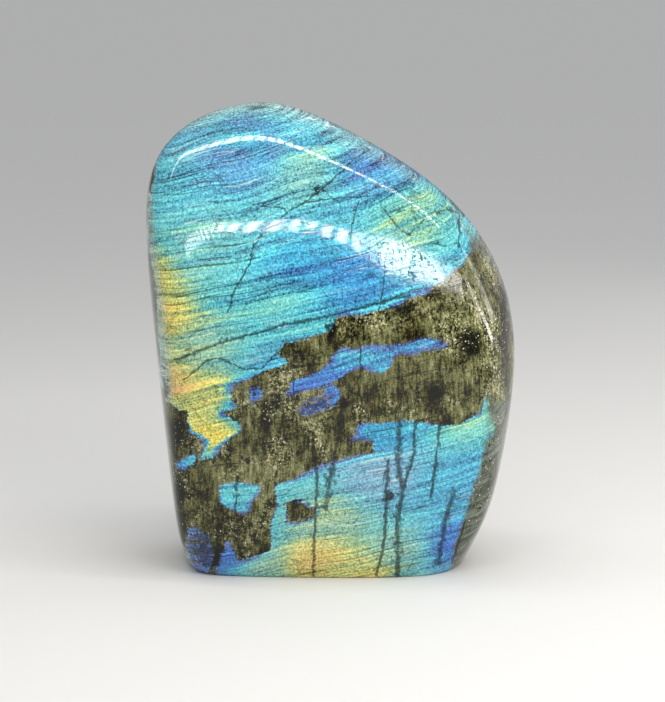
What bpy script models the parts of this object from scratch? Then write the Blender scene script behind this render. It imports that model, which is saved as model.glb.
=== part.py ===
"""A polished labradorite freeform: one stone, sawn flat underneath and ground round by hand everywhere else.

It is made as a lapidary makes it. A sawn block stands on its flat end, and every point of it is ground in
until it meets the flats held against the wheel. Flats that meet run softly into each other, which gives the
domed front, the rounded right side and the crease down the left side. The flat end stays flat.
"""

import math

import bmesh
import bpy
import numpy as np

MM = 0.001

# The sawn block that the stone is ground from. The camera's side is -Y, and +Z is up.
BLOCK_WIDTH = 120 * MM
BLOCK_DEPTH = 62 * MM
BLOCK_HEIGHT = 151 * MM
CELLS_WIDE = 30
CELLS_DEEP = 15
CELLS_HIGH = 36

# Every flat is measured from this point, on the block's middle line.
CENTRE_HEIGHT = 72 * MM

# Flats round the outline, as seen from the front: the way each faces, in degrees from the stone's right
# towards its top, how far it leans to the front, in degrees, and its distance from the centre.
OUTLINE_FLATS = (
    (234.5, 0, 89.5 * MM),
    (185.5, 5, 56.5 * MM),
    (162.5, 4, 76.5 * MM),
    (128, 0, 88.5 * MM),
    (102, 0, 93.5 * MM),
    (78, 0, 124.5 * MM),
    (58, 0, 65.0 * MM),
    (40, 0, 65.5 * MM),
    (20, 0, 67.0 * MM),
    (0, 0, 68.0 * MM),
    (-16, 0, 66.0 * MM),
    (-48, 0, 98.0 * MM),
    (-90, 0, 131.5 * MM),
)

# Flats of the front face: turn to the stone's right and tilt upwards, in degrees, and distance.
FRONT_FLATS = (
    (0, -4, 29.5 * MM),
    (0, 20, 32.5 * MM),
    (-6, 38, 47.0 * MM),
    (4, 60, 76.0 * MM),
    (36, 10, 50.0 * MM),
    (-42, 4, 54.0 * MM),
    (0, -40, 66.0 * MM),
)

# The back face, in the same way. It is flatter than the front, and turns over late to meet the ridge.
BACK_FLATS = (
    (0, -2, 31.5 * MM),
    (0, 26, 62.0 * MM),
    (36, 0, 51.0 * MM),
    (-36, 0, 53.0 * MM),
    (0, -40, 70.0 * MM),
)

# How firmly neighbouring flats meet: a high number is a crisp edge, a low one a wide round.
OUTLINE_FIRMNESS = 14.0
FACE_FIRMNESS = 12.0
RIGHT_EDGE_FIRMNESS = 4.6
LEFT_EDGE_FIRMNESS = 6.4

# At its far left the stone is firmer still, by this much, so that a crease runs down beside the left edge.
CREASE_FIRMNESS = 7.0
CREASE_NARROWNESS = 7

# The sharp rim of the saw cut is eased so that it doesn't chip.
RIM_EASE = 0.6 * MM
RIM_STEPS = 2

GRINDING_PASSES = 32

STONE_COLOUR = (0.13, 0.36, 0.44, 1.0)
STONE_ROUGHNESS = 0.12


def outline_normal(clock, lean):
    """The way an outline flat faces."""
    clock, lean = math.radians(clock), math.radians(lean)
    return (math.cos(clock) * math.cos(lean), -math.sin(lean), math.sin(clock) * math.cos(lean))


def face_normal(turn, tilt, side):
    """The way a flat of the front (side -1) or back (side 1) faces."""
    turn, tilt = math.radians(turn), math.radians(tilt)
    return (math.sin(turn) * math.cos(tilt), side * math.cos(turn) * math.cos(tilt), math.sin(tilt))


def reach(points, normals_and_distances, firmness):
    """How far each point reaches towards the flats together: 1 where it meets them."""
    total = np.zeros(len(points))
    for normal, distance in normals_and_distances:
        total += np.clip(points @ np.array(normal) / distance, 0, None) ** firmness
    return total ** (1 / firmness)


OUTLINE = [(outline_normal(clock, lean), distance) for clock, lean, distance in OUTLINE_FLATS]
FACES = [(face_normal(turn, tilt, -1), distance) for turn, tilt, distance in FRONT_FLATS]
FACES += [(face_normal(turn, tilt, 1), distance) for turn, tilt, distance in BACK_FLATS]


def stone_reach(points):
    """Under 1 inside the stone, 1 on its surface, more outside. Points are measured from the centre."""
    leftness = np.clip(0.5 - points[:, 0] / BLOCK_WIDTH, 0, 1)
    firmness = RIGHT_EDGE_FIRMNESS + (LEFT_EDGE_FIRMNESS - RIGHT_EDGE_FIRMNESS) * leftness
    firmness += CREASE_FIRMNESS * leftness**CREASE_NARROWNESS
    outline = reach(points, OUTLINE, OUTLINE_FIRMNESS)
    faces = reach(points, FACES, FACE_FIRMNESS)
    return (outline**firmness + faces**firmness) ** (1 / firmness)


def grind(points):
    """Moves the block's points to the stone's surface: straight in below the centre, towards it above."""
    anchors = np.zeros_like(points)
    anchors[:, 2] = np.minimum(points[:, 2], CENTRE_HEIGHT)
    centre = np.array((0, 0, CENTRE_HEIGHT))
    near, far = np.zeros(len(points)), np.full(len(points), 1.6)
    for _ in range(GRINDING_PASSES):
        middle = (near + far) / 2
        inside = stone_reach(anchors + (points - anchors) * middle[:, None] - centre) < 1
        near = np.where(inside, middle, near)
        far = np.where(inside, far, middle)
    return anchors, (near + far) / 2


def sawn_block():
    """The block as a mesh of even cells, standing on the ground."""
    bm = bmesh.new()
    bmesh.ops.create_cube(bm, size=1)
    for axis, cells in enumerate((CELLS_WIDE, CELLS_DEEP, CELLS_HIGH)):
        along = [e for e in bm.edges if abs(e.verts[0].co[axis] - e.verts[1].co[axis]) > 0.5]
        bmesh.ops.subdivide_edges(bm, edges=along, cuts=cells - 1, use_grid_fill=True)
    bmesh.ops.scale(bm, vec=(BLOCK_WIDTH, BLOCK_DEPTH, BLOCK_HEIGHT), verts=bm.verts)
    bmesh.ops.translate(bm, vec=(0, 0, BLOCK_HEIGHT / 2), verts=bm.verts)
    return bm


def grind_block(bm):
    """Grinds the sides, and draws the sawn end in with them."""
    points = np.array([v.co for v in bm.verts])
    half = np.array((BLOCK_WIDTH / 2, BLOCK_DEPTH / 2))
    out_of_middle = np.abs(points[:, :2] / half).max(axis=1)
    sawn_end = (points[:, 2] < 0.5 * MM) & (out_of_middle < 1 - 1e-4)
    # A point of the sawn end keeps its share of the way out to the rim.
    share = np.where(sawn_end, np.maximum(out_of_middle, 1e-3), 1.0)
    rim_points = points.copy()
    rim_points[:, :2] /= share[:, None]
    anchors, stretch = grind(rim_points)
    ground = anchors + (rim_points - anchors) * stretch[:, None]
    ground[:, :2] *= share[:, None]
    for vert, place in zip(bm.verts, ground):
        vert.co = place


def flatten_sawn_end(bm):
    """Makes the sawn end one face, and eases the rim round it."""
    end_faces = [f for f in bm.faces if all(v.co.z < 0.1 * MM for v in f.verts)]
    bmesh.ops.dissolve_faces(bm, faces=end_faces, use_verts=True)
    (end,) = [f for f in bm.faces if all(v.co.z < 0.1 * MM for v in f.verts)]
    bmesh.ops.bevel(
        bm,
        geom=list(end.edges),
        offset=RIM_EASE,
        offset_type="OFFSET",
        segments=RIM_STEPS,
        profile=0.5,
        affect="EDGES",
        material=-1,
    )


def centre_on_origin(bm):
    """Puts the origin under the middle of the stone, on the surface it stands on."""
    places = np.array([v.co for v in bm.verts])
    middle = (places.min(axis=0) + places.max(axis=0)) / 2
    bmesh.ops.translate(bm, vec=(-middle[0], -middle[1], -places[:, 2].min()), verts=bm.verts)


def polished_stone_material():
    material = bpy.data.materials.new("polished_labradorite")
    material.use_nodes = True
    shader = material.node_tree.nodes["Principled BSDF"]
    shader.inputs["Base Color"].default_value = STONE_COLOUR
    shader.inputs["Roughness"].default_value = STONE_ROUGHNESS
    shader.inputs["Metallic"].default_value = 0.0
    return material


def make_stone():
    bm = sawn_block()
    grind_block(bm)
    flatten_sawn_end(bm)
    centre_on_origin(bm)
    bmesh.ops.recalc_face_normals(bm, faces=bm.faces)
    mesh = bpy.data.meshes.new("stone")
    bm.to_mesh(mesh)
    bm.free()
    mesh.shade_smooth()
    mesh.set_sharp_from_angle(angle=math.radians(40))
    mesh.materials.append(polished_stone_material())
    stone = bpy.data.objects.new("stone", mesh)
    bpy.context.scene.collection.objects.link(stone)
    return stone


for leftover in list(bpy.data.objects):
    bpy.data.objects.remove(leftover)
make_stone()
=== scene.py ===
import math

import bmesh
import bpy
import numpy as np
from mathutils import Matrix, Vector, noise


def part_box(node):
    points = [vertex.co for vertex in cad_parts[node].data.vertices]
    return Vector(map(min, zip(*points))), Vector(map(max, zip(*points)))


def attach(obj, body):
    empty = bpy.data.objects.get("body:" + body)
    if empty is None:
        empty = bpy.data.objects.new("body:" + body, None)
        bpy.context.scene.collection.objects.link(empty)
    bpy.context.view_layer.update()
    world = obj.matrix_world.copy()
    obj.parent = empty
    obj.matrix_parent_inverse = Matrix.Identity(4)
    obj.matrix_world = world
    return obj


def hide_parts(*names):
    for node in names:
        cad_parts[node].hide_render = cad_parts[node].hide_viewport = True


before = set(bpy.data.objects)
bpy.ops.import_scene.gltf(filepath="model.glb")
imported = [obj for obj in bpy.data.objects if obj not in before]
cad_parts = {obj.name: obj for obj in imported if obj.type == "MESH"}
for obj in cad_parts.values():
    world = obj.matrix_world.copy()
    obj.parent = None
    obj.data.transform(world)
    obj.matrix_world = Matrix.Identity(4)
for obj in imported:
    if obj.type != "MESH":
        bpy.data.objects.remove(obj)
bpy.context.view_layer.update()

MM = 0.001

# The stone. It is one piece of labradorite feldspar with no other part to it. It was sawn flat underneath,
# ground round by hand on a wheel everywhere else, and polished. A sawn block is ground in here in the same
# way, until each point of it meets the flats that were held against the wheel.

BLOCK_WIDTH = 120 * MM
BLOCK_DEPTH = 62 * MM
BLOCK_HEIGHT = 151 * MM
CELLS_WIDE = 140
CELLS_DEEP = 56
CELLS_HIGH = 176
CENTRE_HEIGHT = 72 * MM

# The way each flat of the outline faces, in degrees from the stone's right towards its top, how far it leans
# to the front, in degrees, and its distance from the centre.
OUTLINE_FLATS = (
    (234.5, 0, 89.5 * MM),
    (185.5, 5, 56.5 * MM),
    (162.5, 4, 76.5 * MM),
    (128, 0, 88.5 * MM),
    (102, 0, 93.5 * MM),
    (78, 0, 124.5 * MM),
    (58, 0, 65.0 * MM),
    (40, 0, 65.5 * MM),
    (20, 0, 67.0 * MM),
    (0, 0, 68.0 * MM),
    (-16, 0, 66.0 * MM),
    (-48, 0, 98.0 * MM),
    (-90, 0, 131.5 * MM),
)

# Flats of the front and of the back: turn to the stone's right and tilt upwards, in degrees, and distance.
FRONT_FLATS = (
    (0, -4, 29.5 * MM),
    (0, 20, 32.5 * MM),
    (-6, 38, 47.0 * MM),
    (4, 60, 76.0 * MM),
    (36, 10, 50.0 * MM),
    (-42, 4, 54.0 * MM),
    (0, -40, 66.0 * MM),
)
BACK_FLATS = (
    (0, -2, 31.5 * MM),
    (0, 26, 62.0 * MM),
    (36, 0, 51.0 * MM),
    (-36, 0, 53.0 * MM),
    (0, -40, 70.0 * MM),
)

# A high firmness is a crisp edge between neighbouring flats, a low one a wide round.
OUTLINE_FIRMNESS = 14.0
FACE_FIRMNESS = 12.0
RIGHT_EDGE_FIRMNESS = 4.6
LEFT_EDGE_FIRMNESS = 6.4
# At the far left the edge is firmer by this much, so that a crease runs down beside it.
CREASE_FIRMNESS = 7.0
CREASE_NARROWNESS = 7

# How far out a point is looked for, as a share of its way to the block's side, and how often that is halved.
FURTHEST_STRETCH = 1.6
GRINDING_PASSES = 32

# What lies lower than this belongs to the saw cut. Its sharp rim is eased so that it doesn't chip.
SAW_CUT = 0.1 * MM
RIM_EASE = 0.6 * MM
RIM_STEPS = 2
CRISP_ANGLE = math.radians(40)


def outline_normal(clock, lean):
    """The way an outline flat faces."""
    clock, lean = math.radians(clock), math.radians(lean)
    return (math.cos(clock) * math.cos(lean), -math.sin(lean), math.sin(clock) * math.cos(lean))


def face_normal(turn, tilt, side):
    """The way a flat of the front (side -1) or back (side 1) faces."""
    turn, tilt = math.radians(turn), math.radians(tilt)
    return (math.sin(turn) * math.cos(tilt), side * math.cos(turn) * math.cos(tilt), math.sin(tilt))


OUTLINE = [(outline_normal(clock, lean), distance) for clock, lean, distance in OUTLINE_FLATS]
FACES = [(face_normal(turn, tilt, -1), distance) for turn, tilt, distance in FRONT_FLATS]
FACES += [(face_normal(turn, tilt, 1), distance) for turn, tilt, distance in BACK_FLATS]


def reach(points, normals_and_distances, firmness):
    """How far each point reaches towards the flats together: 1 where it meets them."""
    total = np.zeros(len(points))
    for normal, distance in normals_and_distances:
        total += np.clip(points @ np.array(normal) / distance, 0, None) ** firmness
    return total ** (1 / firmness)


def stone_reach(points):
    """Under 1 inside the stone, 1 on its surface, more outside. Points are measured from the centre."""
    leftness = np.clip(0.5 - points[:, 0] / BLOCK_WIDTH, 0, 1)
    firmness = RIGHT_EDGE_FIRMNESS + (LEFT_EDGE_FIRMNESS - RIGHT_EDGE_FIRMNESS) * leftness
    firmness += CREASE_FIRMNESS * leftness**CREASE_NARROWNESS
    outline = reach(points, OUTLINE, OUTLINE_FIRMNESS)
    faces = reach(points, FACES, FACE_FIRMNESS)
    return (outline**firmness + faces**firmness) ** (1 / firmness)


def grind(points):
    """Moves points to the stone's surface: straight in below the centre, towards the centre above it."""
    anchors = np.zeros_like(points)
    anchors[:, 2] = np.minimum(points[:, 2], CENTRE_HEIGHT)
    centre = np.array((0, 0, CENTRE_HEIGHT))
    near, far = np.zeros(len(points)), np.full(len(points), FURTHEST_STRETCH)
    for _ in range(GRINDING_PASSES):
        middle = (near + far) / 2
        inside = stone_reach(anchors + (points - anchors) * middle[:, None] - centre) < 1
        near = np.where(inside, middle, near)
        far = np.where(inside, far, middle)
    return anchors + (points - anchors) * ((near + far) / 2)[:, None]


block = bmesh.new()
bmesh.ops.create_cube(block, size=1)
for axis, cells in enumerate((CELLS_WIDE, CELLS_DEEP, CELLS_HIGH)):
    along = [e for e in block.edges if abs(e.verts[0].co[axis] - e.verts[1].co[axis]) > 0.5]
    bmesh.ops.subdivide_edges(block, edges=along, cuts=cells - 1, use_grid_fill=True)
bmesh.ops.scale(block, vec=(BLOCK_WIDTH, BLOCK_DEPTH, BLOCK_HEIGHT), verts=block.verts)
bmesh.ops.translate(block, vec=(0, 0, BLOCK_HEIGHT / 2), verts=block.verts)

# A point of the sawn end is drawn in with the rim, and keeps its share of the way out to it.
points = np.array([v.co for v in block.verts])
out_of_middle = np.abs(points[:, :2] / (BLOCK_WIDTH / 2, BLOCK_DEPTH / 2)).max(axis=1)
sawn_end = (points[:, 2] < SAW_CUT) & (out_of_middle < 1 - 1e-4)
share = np.where(sawn_end, np.maximum(out_of_middle, 1e-3), 1.0)
points[:, :2] /= share[:, None]
points = grind(points)
points[:, :2] *= share[:, None]
for vert, place in zip(block.verts, points):
    vert.co = place

end_faces = [f for f in block.faces if all(v.co.z < SAW_CUT for v in f.verts)]
bmesh.ops.dissolve_faces(block, faces=end_faces, use_verts=True)
(end,) = [f for f in block.faces if all(v.co.z < SAW_CUT for v in f.verts)]
bmesh.ops.bevel(
    block, geom=list(end.edges), offset=RIM_EASE, offset_type="OFFSET", segments=RIM_STEPS,
    profile=0.5, affect="EDGES", material=-1,
)
bmesh.ops.recalc_face_normals(block, faces=block.faces)

# It stands where the frame's own stone stands.
low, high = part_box("stone")
points = np.array([v.co for v in block.verts])
middle = (points.min(axis=0) + points.max(axis=0)) / 2
bmesh.ops.translate(
    block,
    vec=((low.x + high.x) / 2 - middle[0], (low.y + high.y) / 2 - middle[1], low.z - points[:, 2].min()),
    verts=block.verts,
)

# A flat spot on the right shoulder, where the wheel was held too long, and nicks along the edge, where it
# met something hard: place on the front, half length and half height in millimetres, slope, and depth.
HOLLOWS = (
    ((30.0, 102.0), 17.0, 8.0, math.radians(-23), 0.75 * MM),
    ((9.0, 139.5), 2.0, 1.1, math.radians(-20), 0.45 * MM),
    ((25.5, 130.5), 1.8, 1.0, math.radians(-35), 0.40 * MM),
    ((56.0, 93.0), 1.2, 2.2, 0.0, 0.25 * MM),
)
for (at_x, at_z), half_length, half_height, slope, depth in HOLLOWS:
    for vert in block.verts:
        if vert.co.y < 0:
            to_x, to_z = vert.co.x / MM - at_x, vert.co.z / MM - at_z
            along = (to_x * math.cos(slope) + to_z * math.sin(slope)) / half_length
            across = (to_z * math.cos(slope) - to_x * math.sin(slope)) / half_height
            vert.co -= vert.normal * depth * math.exp(-(along**2 + across**2) / 2)
    block.normal_update()

mesh = bpy.data.meshes.new("labradorite_stone")
block.to_mesh(mesh)
block.free()
mesh.shade_smooth()
mesh.set_sharp_from_angle(angle=CRISP_ANGLE)
stone = bpy.data.objects.new("labradorite_stone", mesh)
bpy.context.scene.collection.objects.link(stone)
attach(stone, "root")
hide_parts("stone")

# The markings. Labradorite flashes where thin layers inside it are the right depth apart. The flash lies in
# fields with torn edges in a grey-green matrix, and its hue turns from violet at a field's edge through blue,
# turquoise and green to gold. Places on the face are in millimetres: to the right of the middle, and up.
UPPER_FIELD = (
    (-68, 164), (75, 164), (62, 122), (47, 106), (42, 102), (37, 98), (33, 95), (28, 92), (14, 89), (2, 86),
    (0, 82), (-5, 79), (-14, 78), (-16, 75), (-14, 72), (-21, 69), (-26, 66), (-31, 63), (-32, 60),
    (-28, 58), (-34, 55), (-27, 51), (-32, 47), (-37, 41), (-42, 41), (-40, 45), (-44, 49), (-45, 56),
    (-50, 56), (-58, 53),
)
LONG_LENS = (
    (-15, 61), (-12, 66), (-4, 69), (0, 73), (3, 77), (22, 78), (30, 80), (38, 78), (35, 76), (21, 74),
    (17, 69), (9, 70), (-3, 64),
)
LOWER_FIELD = (
    (6, 47), (9, 52), (22, 54), (31, 52), (41, 52), (47, 55), (49, 60), (60, 61), (66, 40), (66, -9),
    (-38, -9), (-35, 9), (-32, 14), (-30, 6), (-20, 9), (-19, 15), (-17, 27), (-17, 32),
    (-4, 38), (4, 41), (13, 43), (13, 47),
)
ISLAND = ((-36, 32), (-30, 33), (-23, 32), (-22, 30), (-27, 22), (-32, 24), (-35, 26))
EDGE_SPOT = ((-50, 37), (-48, 40), (-44, 43), (-43, 41), (-47, 36))
FRONT_FIELDS = (UPPER_FIELD, LONG_LENS, LOWER_FIELD, ISLAND, EDGE_SPOT)

# Fields that never get deep, so that they stay violet and let the grey through.
SMALL_LENS = ((-12, 58), (-2, 62), (0, 65), (4, 62), (2, 58), (-8, 55))
CHIP = ((-25, 64), (-22, 64), (-21, 61), (-25, 57))
STREAK = ((4, 87), (17, 90), (24, 92), (23, 90), (10, 87))
DIM_CORNER = ((-45, 18), (-38, 14), (-39, -6), (-49, -6), (-48, 7))
FAINT_FIELDS = (SMALL_LENS, CHIP, STREAK, DIM_CORNER)
FAINT_DEPTH = 0.3

# A strip down the lower right where the flash is lost and silver sheen is painted, a hole in the lower field,
# and a worn patch.
SILVER_STRIP = (
    (58, 64), (54, 52), (50, 44), (46.5, 33), (45, 26), (43, 19.5), (40, 7), (38, -9), (70, -9), (70, 64),
)
GREY_WINDOW = ((-14, 25), (-11, 27), (-4, 23), (-6, 20), (-14, 20))
PITTED_PATCH = (
    (9, 111), (14, 111), (24, 109), (33, 106), (40, 103), (48, 97), (50, 90), (46, 88), (34, 95), (24, 98),
    (16, 101), (11, 106),
)
BACK_FIELDS = (
    (
        (-60, 150), (-20, 168), (30, 150), (66, 100), (50, 92), (22, 88), (-2, 74), (-14, 58), (-34, 50),
        (-64, 60),
    ),
    ((-26, 44), (-6, 52), (18, 62), (44, 70), (50, 64), (30, 54), (8, 42), (-14, 34)),
    ((-40, -9), (-40, 16), (-22, 24), (4, 22), (26, 14), (40, -9)),
)

# The flash is turquoise but for these spots on the front and on the back: place in millimetres, hue from 0
# violet to 1 orange, and milkiness.
FRONT_HUES = (
    (-29, 144, 0.34, 0.2), (-26, 134, 0.30, 0.2), (-7, 131, 0.61, 0.3), (13, 132, 0.32, 0.1),
    (26, 115, 0.66, 0.1), (-40, 110, 0.57, 0.2), (8, 99, 0.33, 0.0), (-10, 102, 0.40, 0.0),
    (-18, 91, 0.56, 0.1), (-61, 96, 0.86, 0.1), (-56, 83, 0.90, 0.1), (-42, 76, 0.66, 0.3),
    (-51, 65, 0.98, 0.2), (-38, 61, 0.87, 0.1), (-39, 48, 0.91, 0.0), (-24, 60, 0.16, 0.0),
    (-47, 39, 0.42, 0.0), (-5, 62, 0.22, 0.0), (28, 77, 0.36, 0.1), (16, 49, 0.40, 0.0),
    (46, 53, 0.60, 0.1), (42, 34, 0.42, 0.1), (15, 35, 0.32, 0.5), (38, 11, 0.24, 0.0),
    (24, 9, 0.64, 0.5), (0, 21, 0.72, 0.4), (-6, 6, 0.95, 0.2), (12, 1, 0.86, 0.2),
    (-22, 4, 0.66, 0.5), (-32, 7, 0.22, 0.0), (-43, 8, 0.05, 0.3),
)
BACK_HUES = (
    (-10, 136, 0.42, 0.0), (20, 126, 0.30, 0.0), (4, 104, 0.60, 0.0), (-30, 88, 0.36, 0.0),
    (-46, 70, 0.72, 0.1), (-14, 70, 0.24, 0.0), (34, 62, 0.34, 0.0), (-30, 12, 0.60, 0.2),
    (0, 10, 0.86, 0.2),
)
TURQUOISE = 0.50
TURQUOISE_MILK = 0.1
TURQUOISE_WEIGHT = 0.02
# The pull of a spot falls to a third over this many millimetres, and over more of them along the layers.
HUE_REACH = 2.5
HUE_STRETCH = 1.5

# Dark inclusions: middle, half width and half height in millimetres.
FRONT_INCLUSIONS = (
    (0.5, 81.5, 1.6, 5.5), (-20, 54, 2.2, 7.0), (33, 61, 3.2, 5.0), (-24.5, 15, 1.0, 2.8),
    (-26, 11, 1.8, 1.0), (19.5, 28.5, 2.2, 1.2), (-27, 40.5, 1.2, 0.9), (-3.5, 125.5, 1.3, 1.3),
    (-48, 49.5, 2.8, 5.8), (-23.5, 62.5, 1.3, 3.2), (-36, 17.5, 1.9, 1.6), (4.5, 58.5, 1.6, 2.8),
    (-9.5, 20.5, 1.7, 0.7), (-16.5, 59.5, 1.0, 3.1), (44, 77, 3.1, 5.6), (-48.5, 24, 2.2, 13.0),
    (-35.5, 10, 1.4, 5.0), (-41, 10, 4.0, 8.0), (-4, 58, 4.0, 1.8), (56, 80, 2.0, 14.0),
)
BACK_INCLUSIONS = (
    (-20, 46, 2.5, 5.0), (12, 34, 2.0, 6.0), (36, 84, 3.0, 4.0), (-44, 34, 2.4, 7.0), (6, 66, 1.4, 2.0),
)

# How the layers lie: they rise to the right by the first angle, and are tipped by the second as seen from
# the side.
LAYER_RISE = math.radians(13)
LAYER_TIP = math.radians(-8)

# Every edge wanders over a few millimetres, frays over less, and is torn where the sides cut it. The front's
# markings give way to the back's within this many millimetres of the middle of the sides.
MARKING_SEED = 7
WANDER_SIZE = 7.0
FRAY_SIZE = 2.6
TEAR_SIZE = 9.0
SIDE_SEAM = 8.0
# How far out an inclusion still shows, in its own half widths.
INCLUSION_REACH = 1.5


def depth_inside(outline, x, z):
    """How far inside an outline each place lies, in millimetres, and under 0 outside it."""
    nearest = np.full(len(x), 1e3)
    inside = np.zeros(len(x), bool)
    for (ax, az), (bx, bz) in zip(outline, outline[1:] + outline[:1]):
        run, rise = bx - ax, (bz - az) or 1e-6
        along = np.clip(((x - ax) * run + (z - az) * rise) / (run**2 + rise**2), 0, 1)
        nearest = np.minimum(nearest, np.hypot(x - ax - along * run, z - az - along * rise))
        inside ^= ((az > z) != (az + rise > z)) & (x < ax + (z - az) * run / rise)
    return np.where(inside, nearest, -nearest)


def blend_hues(hues, x, z):
    """The hue and milkiness at each place. A spot reaches further along the layers than across them."""
    weights = TURQUOISE_WEIGHT
    hue_sum = TURQUOISE_WEIGHT * TURQUOISE
    milk_sum = TURQUOISE_WEIGHT * TURQUOISE_MILK
    for at_x, at_z, hue, milk in hues:
        along = (x - at_x) * math.cos(LAYER_RISE) + (z - at_z) * math.sin(LAYER_RISE)
        across = (z - at_z) * math.cos(LAYER_RISE) - (x - at_x) * math.sin(LAYER_RISE)
        weight = np.exp(-np.hypot(along / HUE_STRETCH, across) / HUE_REACH)
        weights = weights + weight
        hue_sum = hue_sum + weight * hue
        milk_sum = milk_sum + weight * milk
    return hue_sum / weights, milk_sum / weights


def inclusion_shade(inclusions, x, z):
    """1 in the middle of a dark inclusion, falling to 0 some way outside it."""
    shade = np.zeros(len(x))
    for at_x, at_z, half_width, half_height in inclusions:
        away = np.hypot((x - at_x) / half_width, (z - at_z) / half_height)
        shade = np.maximum(shade, np.clip(INCLUSION_REACH - away, 0, INCLUSION_REACH) / INCLUSION_REACH)
    return shade


def ramp(values, low, high):
    """0 at low, 1 at high, and smooth in between."""
    share = np.clip((values - low) / (high - low), 0, 1)
    return share * share * (3 - 2 * share)


places = np.array([v.co for v in mesh.vertices]) / MM
normals = np.array([n.vector for n in mesh.vertex_normals])
x, z = places[:, 0], places[:, 2]
noise.seed_set(MARKING_SEED)
wander = np.array([noise.noise_vector(Vector(p) / WANDER_SIZE) for p in places])
fray = np.array([noise.noise_vector(Vector(p) / FRAY_SIZE) for p in places])
tears = np.array([noise.noise(Vector(p) / TEAR_SIZE) for p in places])
on_side = ramp(np.abs(normals[:, 0]), 0.72, 0.95)
x_torn = x + 1.2 * wander[:, 0] + 0.5 * fray[:, 0]
z_torn = z + 0.9 * wander[:, 2] + 0.3 * fray[:, 2] + 14 * tears * on_side
x_frayed, z_frayed = x + 2.2 * fray[:, 0] + wander[:, 0], z + 2.6 * fray[:, 2] + wander[:, 2]
to_back = ramp(places[:, 1] + 3 * wander[:, 1] + 16 * tears, -SIDE_SEAM, SIDE_SEAM)


def both_sides(front, back):
    return front * (1 - to_back) + back * to_back


def deepest(outlines):
    return np.max([depth_inside(outline, x_torn, z_torn) for outline in outlines], axis=0)


# The flash is lost on the sides, which cut across the layers, and in the silver strip. Towards the top and
# the left edge it turns pale: a pale sheen painted on the faces that turn up or to the left.
field_front = np.maximum(deepest(FRONT_FIELDS), np.minimum(deepest(FAINT_FIELDS), FAINT_DEPTH))
field_front = np.minimum(field_front, -depth_inside(GREY_WINDOW, x_torn, z_torn))
field_back = deepest(BACK_FIELDS) + 7 * tears + 3 * fray[:, 1]
hue_front, milk_front = blend_hues(FRONT_HUES, x, z)
hue_back, milk_back = blend_hues(BACK_HUES, x, z)
to_right, to_left, to_top = normals[:, 0], -normals[:, 0], normals[:, 2]
turned_away = np.max(
    [
        ramp(to_right + 0.3 * tears + 0.1 * fray[:, 0], 0.60, 0.88),
        ramp(to_left + 0.2 * tears + 0.1 * fray[:, 0], 0.93, 1.03),
        both_sides(ramp(depth_inside(SILVER_STRIP, x_torn, z_torn), -0.9, 0.7), 0),
    ],
    axis=0,
)
painted_pale_sheen = 0.8 * np.maximum(ramp(to_top, 0.78, 0.98), ramp(to_left, 0.70, 0.98))
markings = {
    "flash_depth": both_sides(field_front, field_back),
    "flash_hue": both_sides(hue_front, hue_back),
    "flash_milk": both_sides(milk_front, milk_back) + painted_pale_sheen,
    "flash_facing": 1 - turned_away,
    # How far each face turns up, which dims the flash as painted shade.
    "upturn": np.clip(normals[:, 2], 0, 1),
    "pitted": both_sides(1 - ramp(-depth_inside(PITTED_PATCH, x_torn, z_torn), -2.0, 3.0), 0),
    "inclusion": both_sides(
        inclusion_shade(FRONT_INCLUSIONS, x_frayed, z_frayed),
        inclusion_shade(BACK_INCLUSIONS, x_frayed, z_frayed),
    ),
}
for name, values in markings.items():
    attribute = mesh.attributes.new(name, "FLOAT", "POINT")
    attribute.data.foreach_set("value", values.astype(np.float32))


class Wire:
    """A socket of the finish being mixed. Sums on wires add Math nodes, and node() adds any other."""

    tree = None

    def __init__(self, socket):
        self.socket = socket

    @classmethod
    def join(cls, value, socket):
        if isinstance(value, cls):
            cls.tree.links.new(value.socket, socket)
        else:
            socket.default_value = value

    @classmethod
    def node(cls, kind, settings, sockets, output=0):
        """Adds a node, with its settings first, and gives one of its outputs."""
        made = cls.tree.nodes.new("ShaderNode" + kind)
        for name, value in settings.items():
            if name == "stops":
                stops = made.color_ramp.elements
                while len(stops) < len(value):
                    stops.new(1.0)
                for stop, (position, colour) in zip(stops, value):
                    stop.position = position
                    stop.color = colour
            else:
                setattr(made, name, value)
        for name, value in sockets.items():
            cls.join(value, made.inputs[name])
        return cls(made.outputs[output])

    def sums(operation):
        """One operator, for a wire on its left and for a wire on its right."""

        def forward(self, other):
            return Wire.node("Math", {"operation": operation}, {0: self, 1: other})

        def reflected(self, other):
            return Wire.node("Math", {"operation": operation}, {0: other, 1: self})

        return forward, reflected

    __add__, __radd__ = sums("ADD")
    __sub__, __rsub__ = sums("SUBTRACT")
    __mul__, __rmul__ = sums("MULTIPLY")
    __truediv__, __rtruediv__ = sums("DIVIDE")


def paint(red, green, blue):
    """A screen colour, 0 to 255 a channel, as light."""
    light = []
    for channel in (red / 255, green / 255, blue / 255):
        light.append(channel / 12.92 if channel < 0.0404 else ((channel + 0.055) / 1.055) ** 2.4)
    return (*light, 1.0)


def marking(name):
    return Wire.node("Attribute", {"attribute_name": name}, {}, output="Fac")


def step(value, low, high):
    """0 at low, 1 at high, and smooth in between."""
    return Wire.node(
        "MapRange", {"interpolation_type": "SMOOTHSTEP"}, {"Value": value, "From Min": low, "From Max": high}
    )


def least(first, second):
    return Wire.node("Math", {"operation": "MINIMUM"}, {0: first, 1: second})


def most(first, second):
    return Wire.node("Math", {"operation": "MAXIMUM"}, {0: first, 1: second})


def scaled(place, *lengths):
    """Places measured in these lengths, so that a pattern stretches with them."""
    factors = tuple(1 / length for length in lengths)
    return Wire.node("VectorMath", {"operation": "MULTIPLY"}, {0: place, 1: factors})


def shifted(place, *offset):
    return Wire.node("VectorMath", {"operation": "ADD"}, {0: place, 1: offset})


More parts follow.
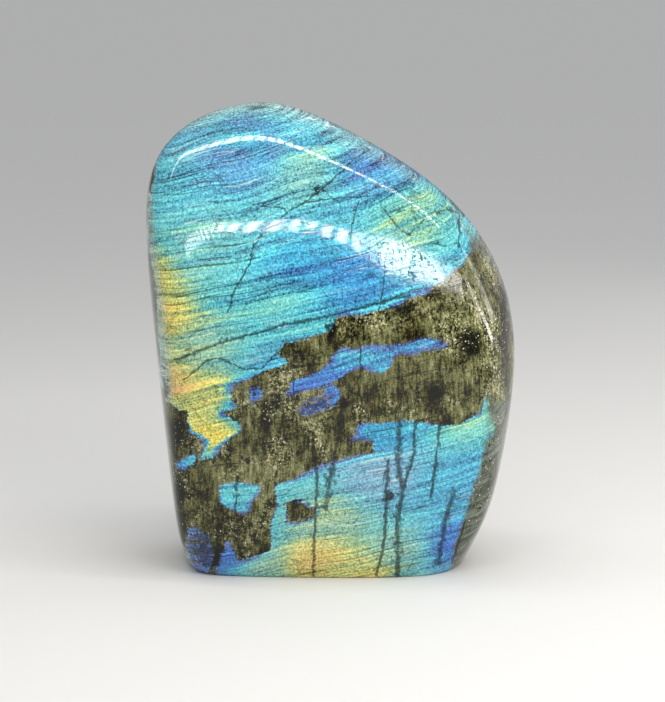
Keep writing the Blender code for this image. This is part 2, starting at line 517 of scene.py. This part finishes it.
def cloud(place, detail=2.0, roughness=0.5):
    sockets = {"Vector": place, "Scale": 1.0, "Detail": detail, "Roughness": roughness}
    return Wire.node("TexNoise", {}, sockets)


def pushes(place, detail):
    """A cloud of colour, whose three channels push places three ways."""
    return Wire.node("TexNoise", {}, {"Vector": place, "Scale": 1.0, "Detail": detail}, output="Color")


def pushed(place, push, *lengths):
    """Places moved by a push, as far as these lengths."""
    return Wire.node("VectorMath", {"operation": "MULTIPLY_ADD"}, {0: push, 1: lengths, 2: place})


def strata(value, count, width):
    """Thin lines along the contours of a cloud."""
    wave = Wire.node("Math", {"operation": "PINGPONG"}, {0: value * count, 1: 0.5})
    return 1 - step(wave, 0.0, width)


def mixed(share, first, second):
    return Wire.node("Mix", {"data_type": "RGBA"}, {0: share, 6: first, 7: second}, output=2)


def dimmed(colour, share):
    """A colour, or a way, times a number."""
    return Wire.node("VectorMath", {"operation": "SCALE"}, {0: colour, "Scale": share})


def colours(value, *stops):
    return Wire.node("ValToRGB", {"stops": stops}, {"Fac": value})


finish = bpy.data.materials.new("polished_labradorite")
finish.use_nodes = True
Wire.tree = finish.node_tree
polish = finish.node_tree.nodes["Principled BSDF"]

# Places on the stone in millimetres, and the same with the layers' slow bends and their slope.
place = Wire.node("TexCoord", {}, {}, output="Object")
place = Wire.node("VectorMath", {"operation": "SCALE"}, {0: place, "Scale": 1 / MM})
drift = shifted(pushes(scaled(place, 40, 40, 40), 1.0), -0.5, -0.5, -0.5)
bent = pushed(place, drift, 5.0, 5.0, 9.0)
layers = Wire.node("Mapping", {}, {"Vector": bent, "Rotation": (LAYER_TIP, LAYER_RISE, 0)})

# Layers: broad bands of hue, threads of light and shade, and long lines where layers part.
bands = cloud(scaled(layers, 40, 30, 2.4), 3.0, 0.55)
threads = cloud(scaled(shifted(layers, 31, 7, 3), 24, 14, 0.6), 2.0, 0.6)
partings = cloud(scaled(shifted(layers, 5, 50, 9), 260, 120, 9), 3.0, 0.6)
parting_strength = step(cloud(scaled(shifted(layers, 80, 3, 60), 22, 14, 5), 2.0), 0.36, 0.60)
parting_lines = strata(partings, 15, 0.10) * parting_strength
pale_strength = step(cloud(scaled(shifted(layers, 2, 31, 40), 22, 14, 7), 1.0), 0.44, 0.60)
pale_lines = strata(partings + 0.03, 15, 0.09) * pale_strength

# Fine cracks across the layers, and a web of them. Clouds of their own let all such lines come and go.
cross = cloud(scaled(shifted(bent, 12, 90, 40), 7, 12, 34), 2.0, 0.5)
cross_strength = step(cloud(scaled(shifted(place, 44, 13, 71), 11, 11, 11), 1.0), 0.5, 0.62)
cross_lines = strata(cross, 7, 0.05) * cross_strength
jitter = pushes(scaled(place, 4, 4, 4), 3.0)
jittered = scaled(pushed(place, jitter, 3.0, 3.0, 3.0), 11, 11, 7)
web = Wire.node("TexVoronoi", {"feature": "DISTANCE_TO_EDGE"}, {"Vector": jittered, "Scale": 1.0})
web_strength = step(cloud(scaled(shifted(place, 9, 33, 2), 16, 16, 9), 1.0), 0.46, 0.6)
web_lines = (1 - step(web, 0.0, 0.03)) * web_strength

grain = cloud(scaled(place, 0.75, 0.75, 0.85), 2.0, 0.6)
fine_grain = cloud(scaled(shifted(place, 3, 9, 5), 0.42, 0.42, 0.5), 1.0)

# The cracks that show best on the face: half width, then the places they run through, in millimetres.
CRACKS = (
    (
        0.26, (6.5, 132.5), (-1.5, 126), (-8, 121), (-13.5, 118), (-21.5, 111), (-24, 108), (-25, 103),
        (-30, 94), (-32, 88),
    ),
    (0.20, (-8, 121), (0, 122), (16, 123)),
    (0.20, (-24.5, 120), (-19.5, 121.5), (-8, 125)),
    (0.20, (-21.5, 120), (-14, 119)),
    (0.18, (9, 121.5), (7, 114.5), (6.5, 110)),
    (0.18, (17, 103), (17, 96), (15, 88)),
    (0.42, (-50.5, 71), (-39.5, 76.5), (-33.5, 78.5), (-13.5, 84), (0.5, 87), (14.5, 90.5), (25, 93)),
    (0.22, (-46, 66), (-38.5, 72.5), (-35.5, 73.5), (-32.5, 72.5), (-27.5, 70), (-21.5, 70), (-15.5, 76)),
    (0.22, (17, 119), (22.5, 112.5), (25, 111), (30, 115.5)),
    (0.30, (34, 117), (37.5, 118), (41.5, 116), (41, 107)),
    (0.50, (-5.5, 47), (-4, 35.5), (-5, 13.5), (-5.5, 1)),
    (0.85, (3.5, 55), (1.5, 41.5), (-0.5, 31.5), (-1.5, 24)),
    (0.80, (22, 53.5), (21.5, 41), (23, 29.5), (21.5, 19.5), (22, 1)),
    (0.55, (27, 52.5), (26.5, 41.5), (23, 29.5)),
    (0.45, (35, 53), (33.5, 38), (32, 27.5)),
    (0.55, (18.5, 40), (17.5, 14), (15, 1)),
    (0.80, (39.5, 29.5), (37, 20.5), (35, 4.5)),
    (0.35, (43.5, 19), (39.5, 3.5)),
    (0.45, (-29.5, 34.5), (-30, 24.5), (-29, 8)),
    (0.30, (-35, 13.5), (-38, 3)),
    (0.24, (-11.5, 76.5), (-11.5, 54)),
    (0.24, (9.5, 78), (9.5, 68), (5, 59.5)),
)


def vector_sum(operation, first, second):
    """A sum on two places or ways that gives one number."""
    return Wire.node("VectorMath", {"operation": operation}, {0: first, 1: second}, output="Value")


def distance_to_line(where, corners):
    """How far each place is from a line through these corners."""
    nearest = None
    for (start_x, start_z), (end_x, end_z) in zip(corners, corners[1:]):
        run = Vector((end_x - start_x, 0, end_z - start_z))
        way = tuple(run.normalized())
        from_start = shifted(where, -start_x, 0, -start_z)
        along = vector_sum("DOT_PRODUCT", from_start, way)
        along = Wire.node("Clamp", {}, {"Value": along, "Min": 0.0, "Max": run.length})
        away = vector_sum("DISTANCE", from_start, dimmed(way, along))
        nearest = away if nearest is None else least(nearest, away)
    return nearest


# A crack's line is shaken, and its width is ragged.
shaken = shifted(pushed(place, jitter, 1.6, 0.0, 1.6), -0.8, 0, -0.8)
shaken = Wire.node("VectorMath", {"operation": "MULTIPLY"}, {0: shaken, 1: (1.0, 0.0, 1.0)})
raggedness = most(1 + (cloud(scaled(shifted(place, 6, 18, 4), 1.1, 1.1, 2.0), 2.0) - 0.5) * 4.0, 0.35)
cracks = 0.0
for half_width, *corners in CRACKS:
    ragged_away = distance_to_line(shaken, corners) * raggedness
    crack = 1 - step(ragged_away, half_width * 0.3, half_width * 1.7)
    cracks = crack if cracks == 0.0 else most(cracks, crack)
depth_axis = Wire.node("SeparateXYZ", {}, {0: place}, output="Y")
on_front = 1 - step(depth_axis, -4.0, 6.0)
cracks = cracks * on_front * step(threads, 0.2, 0.5)

# The flash, violet along the edge of a field, which is here crisp and there soft.
# Milkiness of the layers, with the pale sheen painted on faces that turn up or to the left.
milk = marking("flash_milk")
inside = marking("flash_depth") + (threads - 0.5) * 2.0 + (grain - 0.5) * 2.0 + (bands - 0.5) * 1.4
edge_width = 0.3 + 2.6 * step(cloud(scaled(shifted(place, 7, 70, 30), 11, 11, 8), 1.0), 0.38, 0.70)
edge = step((inside + 0.2) / edge_width, 0.0, 1.0)
flash = step(inside, -0.35, 0.45) * (0.62 + 0.38 * edge) * marking("flash_facing")
hue = marking("flash_hue") + (bands - 0.5) * 0.42 + (threads - 0.5) * 0.18 + (grain - 0.5) * 0.14
hue = least(hue, 0.16 + (bands - 0.5) * 0.5) * (1 - edge) + hue * edge
flash_colour = colours(
    hue,
    (0.00, paint(72, 72, 116)),
    (0.14, paint(78, 104, 206)),
    (0.28, paint(74, 136, 216)),
    (0.40, paint(66, 168, 214)),
    (0.52, paint(86, 204, 220)),
    (0.62, paint(108, 202, 192)),
    (0.72, paint(168, 204, 134)),
    (0.82, paint(228, 224, 112)),
    (0.91, paint(248, 216, 98)),
    (1.00, paint(226, 166, 96)),
)
flash_colour = mixed(milk + step(grain, 0.56, 0.80) * 0.35, flash_colour, paint(166, 198, 194))
# The flash is painted dimmer where the face turns up, as shade.
flash_light = (
    0.88 - marking("upturn") * 0.36 + (threads - 0.5) * 1.2 + (bands - 0.5) * 1.1
    + (grain - 0.5) * 1.7 + (fine_grain - 0.5) * 1.2
)
flash_colour = dimmed(flash_colour, most(flash_light, 0.08))
flash_colour = mixed(pale_lines * (milk * 1.2 + 0.15), flash_colour, paint(222, 236, 226))

# The grey-green matrix, with fibres that run up the stone, brown patches, dark inclusions and pale glints.
# Where the flash is lost, a silver sheen with the layers' streaks is painted in its place.
fibres = cloud(scaled(bent, 0.8, 0.8, 6.0), 3.0, 0.6)
blotches = cloud(scaled(shifted(place, 60, 20, 10), 10, 10, 13), 3.0, 0.6)
patches = cloud(scaled(shifted(place, 25, 66, 14), 2.8, 2.8, 4.0), 3.0, 0.65)
pepper = cloud(scaled(shifted(place, 17, 4, 8), 0.9, 0.9, 1.0), 3.0, 0.75)
speckled = step(cloud(scaled(shifted(place, 52, 8, 77), 9, 9, 11), 2.0), 0.42, 0.62)
matrix_light = (
    0.455 + (fibres - 0.5) * 0.9 + (blotches - 0.5) * 1.1 + (patches - 0.5) * 0.8
    + (pepper - 0.5) * (0.4 + speckled * 2.2) + (fine_grain - 0.5) * 0.6
)
matrix_colour = colours(
    matrix_light,
    (0.14, paint(8, 8, 3)),
    (0.34, paint(50, 48, 20)),
    (0.52, paint(102, 104, 64)),
    (0.70, paint(136, 140, 98)),
    (0.95, paint(214, 208, 168)),
)
matrix_colour = mixed(step(patches, 0.50, 0.70) * 0.4, matrix_colour, paint(96, 80, 34))
silver = mixed(step(bands + threads, 0.75, 1.25), paint(56, 64, 60), paint(120, 130, 120))
silver_sheen = (1 - marking("flash_facing")) * step(inside, -0.5, 1.0) * step(blotches + patches, 0.75, 1.05)
matrix_colour = mixed(silver_sheen * 0.85, matrix_colour, silver)
inclusion = step(marking("inclusion") + (pepper - 0.5) * 2.0 + (fibres - 0.5) * 0.8, 0.28, 0.56)
matrix_colour = mixed(inclusion * 0.95, matrix_colour, paint(8, 8, 4))
flecks = cloud(scaled(shifted(place, 90, 41, 6), 0.62, 0.62, 0.7), 1.0)
glints = step(flecks, 0.65, 0.75) * step(speckled * 0.4 + blotches + marking("inclusion") * 0.3, 0.62, 0.86)
matrix_colour = mixed(glints, matrix_colour, paint(236, 230, 200))

# All together. The pits of the worn patch and the lines where layers part are shallow.
stone_colour = mixed(flash, matrix_colour, flash_colour)
pitted = marking("pitted")
pits = step(pepper + (patches - 0.5) * 0.6, 0.57, 0.64) * pitted
dark_lines = most(parting_lines * 0.9, most(cross_lines * 0.6, web_lines * 0.65))
stone_colour = dimmed(stone_colour, 1 - dark_lines * 0.75)
# Cracks and inclusions are dark in the stone itself; the pits are painted dark as shade in them.
dark_spots_and_pit_shade = most(most(cracks * 0.82, pits * 0.7), inclusion * flash * 0.9)
stone_colour = mixed(dark_spots_and_pit_shade, stone_colour, paint(14, 17, 12))

roughness = 0.04 + (patches - 0.3) * 0.04 + pitted * 0.06 + pits * 0.4
relief = 1 - most(pits, parting_lines * 0.3)
relief = Wire.node("Bump", {}, {"Strength": 0.3, "Distance": 0.1 * MM, "Height": relief}, output="Normal")
Wire.join(stone_colour, polish.inputs["Base Color"])
Wire.join(roughness, polish.inputs["Roughness"])
Wire.join(relief, polish.inputs["Normal"])
polish.inputs["IOR"].default_value = 1.56
polish.inputs["Specular IOR Level"].default_value = 0.28
mesh.materials.append(finish)

# The plain pale table top that it stands on, matt and wide enough to have no edge in view.
FLOOR_SIZE = 40.0
floor_mesh = bpy.data.meshes.new("floor")
floor_bm = bmesh.new()
bmesh.ops.create_grid(floor_bm, x_segments=1, y_segments=1, size=FLOOR_SIZE / 2)
floor_bm.to_mesh(floor_mesh)
floor_bm.free()
floor = bpy.data.objects.new("floor", floor_mesh)
bpy.context.scene.collection.objects.link(floor)
floor_paint = bpy.data.materials.new("floor")
floor_paint.use_nodes = True
floor_shader = floor_paint.node_tree.nodes["Principled BSDF"]
floor_shader.inputs["Base Color"].default_value = (0.64, 0.63, 0.61, 1.0)
floor_shader.inputs["Roughness"].default_value = 0.8
floor_mesh.materials.append(floor_paint)

# The soft light of the room, which is brighter overhead than at the height of the table.
ROOM_LOW = 0.22
ROOM_HIGH = 0.9
world = bpy.data.worlds.new("studio")
world.use_nodes = True
Wire.tree = world.node_tree
room = world.node_tree.nodes["Background"]
room.inputs["Color"].default_value = (0.95, 0.97, 1.0, 1.0)
upward = Wire.node("TexCoord", {}, {}, output="Generated")
upward = Wire.node("SeparateXYZ", {}, {0: upward}, output="Z")
Wire.join(ROOM_LOW + (ROOM_HIGH - ROOM_LOW) * step(upward, 0.1, 0.95), room.inputs["Strength"])
bpy.context.scene.world = world

# The lamps that glint on the polish: four in a row over the front make the lower arc, two overhead the upper
# one, and three stand to the right and behind. Each has the two ends of its middle line, its thickness, its
# brightness, how many small lights lie along it, and the share of its length that is lit.
LAMPS = {
    "left_slats": ((-0.28, -0.38, 0.366), (-0.125, -0.38, 0.446), 0.040, 24.0, 10, 0.5),
    "front_strip": ((-0.125, -0.38, 0.464), (0.075, -0.38, 0.392), 0.024, 34.0, 10, 0.62),
    "window": ((0.078, -0.38, 0.392), (0.32, -0.38, 0.430), 0.030, 40.0, 1, 1.0),
    "right_strip": ((0.32, -0.38, 0.430), (0.56, -0.20, 0.375), 0.045, 22.0, 1, 1.0),
    "top_tail": ((-0.31, -0.07, 0.480), (-0.215, 0.02, 0.480), 0.010, 16.0, 1, 1.0),
    "top_strip": ((-0.215, 0.03, 0.480), (0.33, -0.12, 0.475), 0.023, 24.0, 29, 0.80),
    "side_strip": ((0.60, -0.11, 0.375), (0.62, 0.20, 0.080), 0.024, 14.0, 1, 1.0),
    "side_panel": ((0.56, 0.06, 0.400), (0.59, 0.24, 0.130), 0.060, 4.5, 1, 1.0),
    "back_panel": ((0.62, 0.20, 0.16), (0.30, 0.62, 0.16), 0.36, 0.5, 1, 1.0),
}
LAMPS_FACE = Vector((0.0, 0.0, 0.08))
LAMP_SOFTNESS = 0.12
for name, (left, right, thickness, brightness, count, lit) in LAMPS.items():
    left, right = Vector(left), Vector(right)
    run = right - left
    lamp = bpy.data.lights.new(name, "AREA")
    lamp.shape = "RECTANGLE"
    lamp.size = run.length
    lamp.size_y = thickness
    lamp.energy = brightness * math.pi * run.length * thickness
    lamp.color = (1.0, 0.98, 0.95)
    if count > 1:
        lamp.use_nodes = True
        Wire.tree = lamp.node_tree
        along = Wire.node("NewGeometry", {}, {}, output="Parametric")
        along = Wire.node("SeparateXYZ", {}, {0: along}, output="X")
        wave = Wire.node("Math", {"operation": "PINGPONG"}, {0: along * count, 1: 0.5}) * 2
        glow = 1 - step(wave, lit - LAMP_SOFTNESS, lit + LAMP_SOFTNESS)
        Wire.join(glow, lamp.node_tree.nodes["Emission"].inputs["Strength"])
    backward = ((left + right) / 2 - LAMPS_FACE).normalized()
    sideways = run.normalized()
    upright = backward.cross(sideways).normalized()
    backward = sideways.cross(upright)
    holder = bpy.data.objects.new(name, lamp)
    holder.matrix_world = Matrix((sideways, upright, backward)).transposed().to_4x4()
    holder.location = (left + right) / 2
    holder.visible_camera = False
    bpy.context.scene.collection.objects.link(holder)

# The camera looks a little down on the stone, from about 0.75 m.
CAMERA_LIFT = math.radians(10)
CAMERA_DISTANCE = 0.75
CAMERA_TARGET = Vector((0.0008, -0.0023, 0.0707))
MM_PER_PIXEL = 0.3262
PICTURE_WIDTH = 665
SENSOR = 36.0
camera_data = bpy.data.cameras.new("camera")
camera_data.sensor_fit = "HORIZONTAL"
camera_data.sensor_width = SENSOR
camera_data.lens = SENSOR * CAMERA_DISTANCE / MM / (PICTURE_WIDTH * MM_PER_PIXEL)
camera_data.clip_start = 0.01
camera = bpy.data.objects.new("camera", camera_data)
backward = Vector((0, -math.cos(CAMERA_LIFT), math.sin(CAMERA_LIFT)))
camera.location = CAMERA_TARGET + CAMERA_DISTANCE * backward
camera.rotation_euler = (math.pi / 2 - CAMERA_LIFT, 0, 0)
bpy.context.scene.collection.objects.link(camera)
bpy.context.scene.camera = camera
bpy.context.scene.view_settings.view_transform = "Standard"
